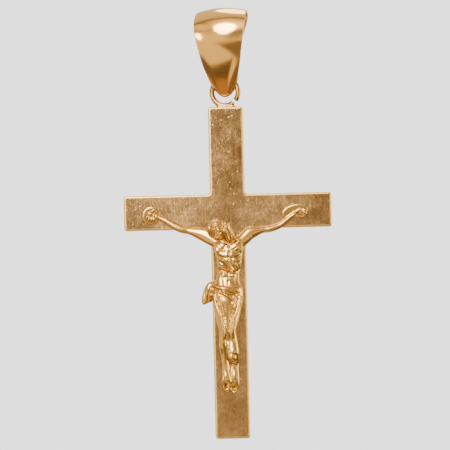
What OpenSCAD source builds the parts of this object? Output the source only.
// Crucifix pendant: a flat cross that carries a cast figure and hangs from a wide loop.
// The front faces -Y and the pendant hangs along -Z. The origin is the seat of the chain,
// the highest point inside the loop.

/* [Cross] */
// Height of the cross
cross_h = 46; // [42:0.5:56]
// Width across the arms
cross_w = 28.8; // [26:0.2:36]
// Width of the upright and of the arms
bar_w = 4.85; // [4.4:0.05:5.8]
// Upper end of the cross down to the upper edge of the arms
top_limb = 12.1; // [10:0.1:15]
// Thickness of the plate
plate_t = 1.3; // [1:0.05:1.8]
// Radius of the outer corners
corner_r = 0.5; // [0.4:0.05:0.9]
// Radius of the inner corners
inner_r = 0.35; // [0.1:0.05:0.8]
// Rounding of the plate's edges
edge_r = 0.26; // [0.1:0.02:0.34]

/* [Ring] */
// Thickness of the ring's wire
wire_d = 0.7; // [0.5:0.05:0.8]
// Inner diameter of the ring
ring_bore = 3; // [2.8:0.1:3.8]
// How far the ring is sunk into the cross
ring_sink = 0.2; // [0.1:0.05:0.4]
// Width of the saw cut in the ring
ring_cut = 0.4; // [0.2:0.05:0.8]
// Height of the solder at the ring's foot
solder_h = 0.7; // [0.4:0.05:0.9]
// Turn of the ring and the loop against the cross
loop_turn = -12; // [-20:1:20]

/* [Loop] */
// Height of the loop
bail_h = 12.4; // [11:0.1:15]
// Width of the loop's front
bail_w = 7.2; // [6:0.1:9]
// Narrowest width of the loop's back, as a share of its front
back_share = 0.56; // [0.4:0.02:1]
// Depth of the loop from front to back
bail_d = 7.5; // [6.6:0.1:9]
// Thickness of the loop's band
bail_t = 0.65; // [0.5:0.05:0.85]
// Thickness of the loop's foot, which carries the ring
foot_t = 1.08; // [0.9:0.02:1.4]
// Outer radius under the loop's foot
foot_r = 0.9; // [0.7:0.05:1.1]
// Thickness of the band at its edges, thinner than its middle because the front is domed
edge_t = 0.2; // [0.15:0.05:0.4]

/* [Figure] */
// Head to toes
figure_h = 24.5; // [20:0.5:28]
// Centre of one hand to the centre of the other
figure_span = 20.6; // [18:0.2:24]
// How far the head stands off the plate
relief = 2.8; // [2:0.1:3.6]
// Width of the chest
chest_w = 3.6; // [3:0.1:4.2]
// Thickness of the upper arms
arm_w = 1.2; // [0.9:0.05:1.5]
// Width of a hand
hand_w = 1.9; // [1.6:0.05:2.2]
// Width of a thigh
thigh_w = 2.05; // [1.6:0.05:2.4]
// Length of the head with its beard
head_l = 3.3; // [2.8:0.1:3.8]
// Width of the pad behind each hand
pad_d = 2.5; // [2:0.1:3.2]
// Thickness of the pads
pad_t = 0.16; // [0.1:0.02:0.3]
// Diameter of the three cast pins
pin_d = 0.6; // [0.5:0.05:0.8]

/* [Fits] */
// Gap between the figure's back and the plate
seat_gap = 0.02; // [0.01:0.01:0.05]
// Gap round each pin
pin_gap = 0.03; // [0.02:0.01:0.06]
// Gap between the ring and the corners of the loop's foot
ring_gap = 0.05; // [0.03:0.01:0.1]
// Play of the ring's wire in the loop's lower bend
ring_play = 0.15; // [0.1:0.01:0.25]

/* [Hidden] */
$fn = 48;

// Ring and loop, with heights above the loop's lowest point
wire_r = wire_d / 2;
ring_r = ring_bore / 2 + wire_r;
bend_r = wire_r + ring_play;
ring_rise = 0.38;
foot_w = 2 * sqrt(pow(ring_bore / 2 - ring_gap, 2) - pow(ring_rise, 2));
ring_lift = foot_t - ring_rise;
bail_r = bail_d / 2;
bore_r = bail_r - bail_t;

// Heights in the pendant's own frame
tip_z = bail_t - bail_h;
ring_z = tip_z + ring_lift;
cross_top = ring_z - ring_r - wire_r + ring_sink;
arms_z = cross_top - top_limb - bar_w / 2;

// Turns of the small balls' facets and of the limbs' edges, so that no two flats nearly meet
facet_turn = 8;
limb_turn = 2;

// Places on the plate, measured from the middle of the arms
hand_shift = -0.3;
hand_drop = 0.33;
head_drop = 0.75;
foot_pin = [-0.012 * figure_h, -head_drop - 0.915 * figure_h];
hand_pins = [for (s = [-1, 1]) [s * figure_span / 2 + hand_shift, -hand_drop]];
pins = concat(hand_pins, [foot_pin]);

// A smooth curve through the rows of a table, cut into k steps a row
function knot(a, b, c, d, t) = (2 * b + (c - a) * t + (2 * a - 5 * b + 4 * c - d) * t * t
    + (3 * b - a - 3 * c + d) * t * t * t) / 2;
function smooth(rows, k) = let (n = len(rows) - 1)
    [for (i = [0 : n - 1]) for (j = [0 : k - 1])
        knot(rows[max(i - 1, 0)], rows[i], rows[i + 1], rows[min(i + 2, n)], j / k), rows[n]];

// Corners of the cross: place, first angle of the arc, and 1 for outer or -1 for inner
function cross_corners() = let (a = bar_w / 2, w = cross_w / 2, t = top_limb + a, b = t - cross_h)
    [[a, t, 0, 1], [-a, t, 90, 1], [-a, a, 270, -1], [-w, a, 90, 1], [-w, -a, 180, 1],
     [-a, -a, 0, -1], [-a, b, 180, 1], [a, b, 270, 1], [a, -a, 90, -1], [w, -a, 270, 1],
     [w, a, 0, 1], [a, a, 180, -1]];

// The outline drawn in by a distance, with the same number of points for any distance
function outline(inset, steps = 5) = [for (c = cross_corners()) for (k = [0 : steps])
    let (r = c[3] > 0 ? corner_r : inner_r,
        diagonal = [cos(c[2]) - sin(c[2]), sin(c[2]) + cos(c[2])],
        ang = c[2] + 90 * (c[3] > 0 ? k / steps : 1 - k / steps))
    [c[0], c[1]] - r * diagonal + (r - c[3] * inset) * [cos(ang), sin(ang)]];

// The plate is a stack of outlines that rounds both long edges
module plate() {
    turns = [0, 30, 60, 90];
    half = plate_t / 2;
    front = [for (a = turns) [edge_r * (1 - sin(a)), -half + edge_r * (1 - cos(a))]];
    layers = concat(front, [for (i = [3 : -1 : 0]) [front[i][0], -front[i][1]]]);
    m = len(outline(0));
    last = len(layers) - 1;
    pts = concat([for (l = layers) for (p = outline(l[0])) [p[0], l[1], p[1]]],
        [[0, -half, 0], [0, half, 0]]);
    sides = [for (i = [0 : last - 1]) for (j = [0 : m - 1]) for (f = [0, 1])
        let (a = i * m + j, b = i * m + (j + 1) % m) f == 0 ? [a, b, b + m] : [a, b + m, a + m]];
    caps = [for (j = [0 : m - 1]) for (f = [0, 1]) let (k = (j + 1) % m)
        f == 0 ? [k, j, (last + 1) * m] : [last * m + j, last * m + k, (last + 1) * m + 1]];
    polyhedron(points = pts, faces = concat(sides, caps));
}

// Wire ring with its saw cut, low on the right
module ring() {
    rotate([90, 0, 0]) difference() {
        rotate_extrude() translate([ring_r, 0]) circle(r = wire_r);
        rotate([0, 0, -45]) translate([ring_r - wire_d, -ring_cut / 2, -wire_d])
            cube([2 * wire_d, ring_cut, 2 * wire_d]);
    }
}

// Solder that runs up from the cross to the ring, hollow on both sides
module solder() {
    neck = ring_r * 0.55;
    rotate([90, 0, 0]) linear_extrude(height = wire_d * 1.2, center = true) difference() {
        translate([-neck - solder_h, -ring_sink]) square([2 * (neck + solder_h), solder_h + ring_sink]);
        for (s = [-1, 1]) translate([s * (neck + solder_h), solder_h - ring_sink / 4]) circle(r = solder_h);
        translate([0, ring_r + wire_r - ring_sink]) circle(r = ring_r);
    }
}

module cross() color("goldenrod") {
    difference() {
        translate([0, 0, arms_z]) plate();
        for (p = pins) translate([p[0], 0, arms_z + p[1]])
            rotate([90, 0, 0]) cylinder(r = pin_d / 2 + pin_gap, h = plate_t + 1, center = true);
    }
    translate([0, 0, ring_z]) rotate([0, 0, loop_turn]) ring();
    translate([0, 0, cross_top]) rotate([0, 0, loop_turn]) solder();
}

// Side view of the loop: a big circle over a small one, joined by their common tangents.
// It runs up the back, over the top, down the front and round the foot. The slope of the
// tangents against the upright follows from the two radii and the gap between the centres.
arc_steps = 30;
flank_steps = 6;
foot_steps = 10;
function drop_curve(big, small, gap) = let (slope = asin((big - small) / gap),
    high = [big * cos(slope), gap - big * sin(slope)],
    low = [small * cos(slope), -small * sin(slope)])
    concat([for (k = [0 : arc_steps]) let (q = -slope + (180 + 2 * slope) * k / arc_steps)
            [big * cos(q), gap + big * sin(q)]],
        [for (k = [1 : flank_steps - 1]) let (f = k / flank_steps, p = high + (low - high) * f)
            [-p[0], p[1]]],
        [for (k = [0 : foot_steps]) let (q = 180 + slope + (180 - 2 * slope) * k / foot_steps)
            [small * cos(q), small * sin(q)]],
        [for (k = [1 : flank_steps - 1]) low + (high - low) * k / flank_steps]);

// Front outline of the loop: share of the height over the foot, share of the width gained there
front_rows = [[0, 0], [0.05, 0.13], [0.15, 0.3], [0.26, 0.48], [0.37, 0.625], [0.47, 0.735],
    [0.59, 0.87], [0.72, 0.965], [0.82, 1], [0.91, 0.97], [1, 0.88]];
// Back outline: share of the height over the foot, how far it draws in, where 1 is back_share
back_rows = [[0, 0], [0.05, 0.1], [0.15, 0.4], [0.26, 0.7], [0.37, 0.9], [0.47, 1],
    [0.59, 0.95], [0.72, 0.8], [0.82, 0.55], [0.91, 0.25], [1, 0]];
front_curve = smooth(front_rows, 3);
back_curve = smooth(back_rows, 3);

// Half the band's width at a height over the tip
function half_width(height, back) = let (h = (height - foot_t) / (bail_h - foot_t))
    (foot_w + (bail_w - foot_w) * lookup(h, front_curve)) / 2
    * (1 - (back ? (1 - back_share) * lookup(h, back_curve) : 0));

// The band: flat inside, domed outside, carried round the side view as one closed surface
module bail() color("gold") rotate([0, 0, loop_turn]) translate([0, 0, tip_z]) {
    across = [for (k = [-6 : 6]) k / 6];
    outer = [for (p = drop_curve(bail_r, foot_r, bail_h - bail_r - foot_r)) p + [0, foot_r]];
    inner = [for (p = drop_curve(bore_r, bend_r, bail_h - bail_r - foot_t - bend_r))
        p + [0, foot_t + bend_r]];
    n = len(outer);
    m = len(across) + 2;
    pts = [for (i = [0 : n - 1]) let (o = outer[i], c = inner[i], full = norm(o - c),
        edge = c + (o - c) * edge_t / full, w = half_width(edge[1], edge[0] > 0))
        each concat([[-w, c[0], c[1]]],
            [for (u = across) let (q = edge + (o - edge) * (1 - u * u)) [w * u, q[0], q[1]]],
            [[w, c[0], c[1]]])];
    walls = [for (i = [0 : n - 1]) for (j = [0 : m - 1]) for (f = [0, 1])
        let (a = i * m + j, b = i * m + (j + 1) % m, c = ((i + 1) % n) * m + j,
            d = ((i + 1) % n) * m + (j + 1) % m) f == 0 ? [a, b, d] : [a, d, c]];
    polyhedron(points = pts, faces = walls);
}

// Every place and size is a share: x of the figure's height or of half its span, z of its
// height below the top of the head, depth of the relief, and widths of the limb's own size.

// A limb is a row of ellipses across its path: [x, z, depth of the middle, half width, half depth]
module limb(path, sides) {
    n = len(path);
    rings = [for (i = [0 : n - 1])
        let (a = path[max(i - 1, 0)], b = path[min(i + 1, n - 1)], t = [b[0] - a[0], b[1] - a[1]],
            u = [-t[1], t[0]] / norm(t), p = path[i])
        for (j = [0 : sides - 1]) let (q = limb_turn + 360 * j / sides)
            [p[0] + u[0] * p[3] * cos(q), -p[2] - p[4] * sin(q), p[1] + u[1] * p[3] * cos(q)]];
    walls = [for (i = [0 : n - 2]) for (j = [0 : sides - 1])
        let (a = i * sides + j, b = i * sides + (j + 1) % sides) [a, a + sides, b + sides, b]];
    ends = [[for (j = [0 : sides - 1]) j], [for (j = [sides - 1 : -1 : 0]) (n - 1) * sides + j]];
    polyhedron(points = rings, faces = concat(walls, ends));
}

// A short rounded stroke from one ball to another: [x, z, depth, radius] at each end
module stroke(a, b) hull() for (p = [a, b])
    translate([p[0], -p[2], p[1]]) rotate([facet_turn, 2 * facet_turn, 0]) sphere(r = p[3], $fn = 8);

// Turns shares into millimetres: x and z by the figure's height, the rest as named
function placed(rows, w, across = figure_h) = [for (r = rows)
    [r[0] * across, -head_drop - r[1] * figure_h, r[2] * relief, r[3] * w, r[4] * relief]];

// Columns of the body tables: x, z, depth, half width, half depth
torso_rows = [[-0.008, 0.122, 0.2, 0.3, 0.18], [0, 0.15, 0.27, 0.55, 0.28], [0.001, 0.182, 0.3, 0.56, 0.36],
    [0.003, 0.222, 0.32, 0.5, 0.38], [0.002, 0.255, 0.32, 0.475, 0.37], [0, 0.28, 0.28, 0.452, 0.34],
    [-0.003, 0.308, 0.24, 0.43, 0.3], [-0.008, 0.345, 0.25, 0.45, 0.3], [-0.01, 0.378, 0.27, 0.49, 0.33],
    [-0.008, 0.42, 0.3, 0.53, 0.34], [-0.013, 0.5, 0.34, 0.44, 0.33], [-0.017, 0.6, 0.36, 0.24, 0.3]];
neck_rows = [[-0.045, 0.1, 0.4, 0.17, 0.2], [-0.028, 0.135, 0.32, 0.2, 0.22], [-0.01, 0.17, 0.3, 0.26, 0.26]];
left_arm = [[-0.13, 0.16, 0.33, 0.6, 0.26], [-0.275, 0.12, 0.32, 0.54, 0.23], [-0.375, 0.097, 0.27, 0.47, 0.2],
    [-0.482, 0.08, 0.23, 0.43, 0.18], [-0.598, 0.068, 0.21, 0.42, 0.165], [-0.712, 0.046, 0.19, 0.4, 0.155],
    [-0.82, 0.018, 0.17, 0.32, 0.13], [-0.918, -0.004, 0.16, 0.25, 0.11], [-0.99, -0.012, 0.16, 0.3, 0.1]];
right_arm = [[0.1, 0.165, 0.33, 0.6, 0.26], [0.22, 0.133, 0.32, 0.53, 0.23], [0.285, 0.105, 0.28, 0.46, 0.2],
    [0.355, 0.092, 0.25, 0.42, 0.185], [0.45, 0.082, 0.23, 0.38, 0.17], [0.56, 0.074, 0.21, 0.34, 0.155],
    [0.68, 0.062, 0.19, 0.31, 0.14], [0.77, 0.036, 0.17, 0.27, 0.125], [0.86, 0.006, 0.16, 0.24, 0.11],
    [0.93, -0.01, 0.16, 0.28, 0.1]];
left_leg = [[-0.046, 0.44, 0.33, 0.46, 0.33], [-0.049, 0.51, 0.37, 0.5, 0.35], [-0.044, 0.575, 0.44, 0.42, 0.32],
    [-0.038, 0.63, 0.53, 0.3, 0.26], [-0.034, 0.668, 0.56, 0.25, 0.21], [-0.032, 0.7, 0.46, 0.27, 0.21],
    [-0.026, 0.735, 0.39, 0.3, 0.21], [-0.012, 0.79, 0.33, 0.26, 0.19], [0.003, 0.845, 0.3, 0.2, 0.15],
    [0.011, 0.885, 0.32, 0.22, 0.16], [0.01, 0.925, 0.28, 0.29, 0.17], [0.007, 0.965, 0.2, 0.34, 0.13],
    [0.006, 0.985, 0.14, 0.3, 0.1]];
right_leg = [[0.033, 0.44, 0.33, 0.46, 0.33], [0.029, 0.51, 0.37, 0.44, 0.34], [0.016, 0.575, 0.44, 0.38, 0.31],
    [0.004, 0.63, 0.53, 0.28, 0.25], [0.001, 0.665, 0.56, 0.25, 0.21], [0.012, 0.695, 0.43, 0.28, 0.21],
    [0.02, 0.728, 0.34, 0.31, 0.22], [0.01, 0.79, 0.26, 0.27, 0.18], [-0.013, 0.845, 0.22, 0.2, 0.14],
    [-0.027, 0.885, 0.22, 0.23, 0.15], [-0.036, 0.922, 0.21, 0.29, 0.15], [-0.039, 0.95, 0.16, 0.28, 0.11],
    [-0.039, 0.97, 0.12, 0.22, 0.08]];
hip_cloth = [[-0.008, 0.388, 0.3, 0.5, 0.33], [-0.008, 0.4, 0.32, 0.56, 0.38], [-0.008, 0.43, 0.35, 0.575, 0.39],
    [-0.011, 0.47, 0.37, 0.58, 0.4], [-0.017, 0.51, 0.38, 0.54, 0.38], [-0.018, 0.535, 0.36, 0.48, 0.32]];
apron = [[-0.012, 0.43, 0.6, 0.3, 0.18], [-0.014, 0.5, 0.62, 0.24, 0.17], [-0.016, 0.56, 0.66, 0.19, 0.15],
    [-0.018, 0.61, 0.7, 0.16, 0.12], [-0.02, 0.635, 0.68, 0.11, 0.08]];
hanging_end = [[-0.05, 0.383, 0.2, 0.1, 0.12], [-0.085, 0.378, 0.26, 0.13, 0.16], [-0.112, 0.39, 0.3, 0.14, 0.16], [-0.124, 0.425, 0.3, 0.17, 0.15],
    [-0.132, 0.465, 0.26, 0.19, 0.14], [-0.126, 0.484, 0.24, 0.17, 0.12]];

// Metal left between the feet, which carries the lowest pin
feet_web = [[-0.012, 0.87, 0.04, 0.22, 0.12], [-0.013, 0.93, 0.06, 0.3, 0.14], [-0.015, 0.965, 0.04, 0.24, 0.1]];

// Folds of the cloth: x and z at one end, x and z at the other, depth, radius
fold_rows = [[-0.09, 0.392, 0.045, 0.4, 0.62, 0.045], [-0.09, 0.405, 0.05, 0.425, 0.66, 0.04],
    [-0.088, 0.42, 0.03, 0.452, 0.7, 0.04], [-0.086, 0.44, -0.015, 0.47, 0.74, 0.035],
    [0.06, 0.402, 0.045, 0.45, 0.58, 0.05], [0.045, 0.41, 0.018, 0.47, 0.7, 0.035]];

// Ribs, one row for each pair: z at the breastbone, z at the side, half width, depth, radius
rib_rows = [[0.215, 0.205, 0.4, 0.6, 0.06], [0.236, 0.232, 0.4, 0.6, 0.05], [0.256, 0.258, 0.38, 0.57, 0.045]];

// Fingers of the hand on the left of the picture, in shares of the hand's width: x and z of
// the knuckle, x and z of the tip. The last row is the thumb.
finger_rows = [[-0.28, 0.24, -0.48, 0.02], [-0.24, 0.06, -0.43, -0.21], [-0.13, -0.08, -0.26, -0.38],
    [0.06, -0.12, 0, -0.44], [0.19, 0.23, 0.11, 0.43]];

module hand(side) translate([side * figure_span / 2 + hand_shift, 0, -hand_drop]) {
    translate([0, -relief * 0.13, 0]) scale([1, 0.6, 0.9]) rotate([facet_turn, 0, facet_turn])
        sphere(r = hand_w * 0.37, $fn = 14);
    for (f = finger_rows) stroke([-side * f[0] * hand_w, f[1] * hand_w, relief * 0.2, hand_w * 0.1],
        [-side * f[2] * hand_w, f[3] * hand_w, relief * 0.14, hand_w * 0.09]);
}

// Flat pads behind the hands, begun behind the plane that trims the whole figure flat
module pads() {
    r = pad_d / 2;
    translate([-figure_span / 2 + hand_shift, 0, -hand_drop]) rotate([90, 0, 0])
        cylinder(r = r, h = 2 * pad_t, center = true, $fn = 40);
    hull() for (p = [[-0.08, 0.75, -0.02], [0, 0.78, 0.01]])
        translate([figure_span / 2 + hand_shift + p[0] * figure_span, 0, -hand_drop + p[2] * figure_h])
            rotate([90, 0, 0]) cylinder(r = r * p[1], h = 2 * pad_t, center = true, $fn = 32);
}

// Head leaning to the left: skull, face, beard and hair, each sized by the head's length
module head() translate([-0.034 * figure_h, -relief * 0.55, -head_drop - 0.068 * figure_h]) rotate([0, -21, 0]) {
    scale([0.72, 0.78, 1]) rotate([0, 0, facet_turn]) sphere(r = head_l / 2, $fn = 20);
    for (s = [-1, 1]) stroke([s * 0.2 * head_l, 0.05 * head_l, 0.24 * head_l, 0.05 * head_l],
        [s * 0.06 * head_l, 0.07 * head_l, 0.34 * head_l, 0.05 * head_l]);
    stroke([0, 0.06 * head_l, 0.35 * head_l, 0.045 * head_l], [0, -0.1 * head_l, 0.41 * head_l, 0.06 * head_l]);
    stroke([0, -0.24 * head_l, 0.25 * head_l, 0.13 * head_l], [0.02 * head_l, -0.42 * head_l, 0.16 * head_l, 0.1 * head_l]);
    for (k = [0 : 8]) let (a = -80 + 20 * k)
        stroke([0.33 * head_l * sin(a), 0.27 * head_l, 0.3 * head_l * cos(a), 0.06 * head_l],
            [0.33 * head_l * sin(a + 20), (k % 2 ? 0.23 : 0.31) * head_l, 0.3 * head_l * cos(a + 20), 0.06 * head_l]);
}

// Locks of hair that fall to the shoulders: x, z, depth and radius at both ends
hair_rows = [[-0.012, 0.035, 0.45, 0.028, 0.02, 0.115, 0.33, 0.022], [0.002, 0.045, 0.38, 0.024, 0.034, 0.125, 0.3, 0.02],
    [-0.075, 0.06, 0.42, 0.026, -0.07, 0.115, 0.34, 0.024], [-0.02, 0.03, 0.5, 0.028, 0.004, 0.12, 0.4, 0.02]];

module corpus() color("khaki") translate([0, -plate_t / 2 - seat_gap, arms_z]) {
    difference() {
        union() {
            limb(placed(torso_rows, chest_w), 20);
            limb(placed(neck_rows, chest_w), 12);
            limb(placed(left_arm, arm_w, figure_span / 2), 12);
            limb(placed(right_arm, arm_w, figure_span / 2), 12);
            limb(placed(left_leg, thigh_w), 12);
            limb(placed(right_leg, thigh_w), 12);
            limb(placed(feet_web, thigh_w), 10);
            limb(placed(hip_cloth, chest_w), 20);
            limb(placed(apron, chest_w), 12);
            limb(placed(hanging_end, chest_w), 10);
            head();
            for (s = [-1, 1]) hand(s);
            pads();
            for (r = hair_rows) stroke(
                [r[0] * figure_h, -head_drop - r[1] * figure_h, r[2] * relief, r[3] * figure_h],
                [r[4] * figure_h, -head_drop - r[5] * figure_h, r[6] * relief, r[7] * figure_h]);
            for (r = fold_rows) stroke(
                [r[0] * figure_h, -head_drop - r[1] * figure_h, r[4] * relief * 0.7, r[5] * relief],
                [r[2] * figure_h, -head_drop - r[3] * figure_h, r[4] * relief, r[5] * relief]);
            for (r = rib_rows) for (s = [-1, 1]) stroke(
                [s * 0.1 * chest_w, -head_drop - r[0] * figure_h, r[3] * relief * 1.08, r[4] * relief],
                [s * r[2] * chest_w, -head_drop - r[1] * figure_h, r[3] * relief * 0.8, r[4] * relief]);
        }
        translate([-cross_w, 0, -cross_h]) cube([2 * cross_w, cross_h, 2 * cross_h]);
    }
    for (p = pins) translate([p[0], 0, p[1]]) rotate([-90, 0, 0])
        translate([0, 0, -pad_t / 2]) cylinder(r = pin_d / 2, h = plate_t + seat_gap + pad_t / 2, $fn = 24);
}

bail();
cross();
corpus();
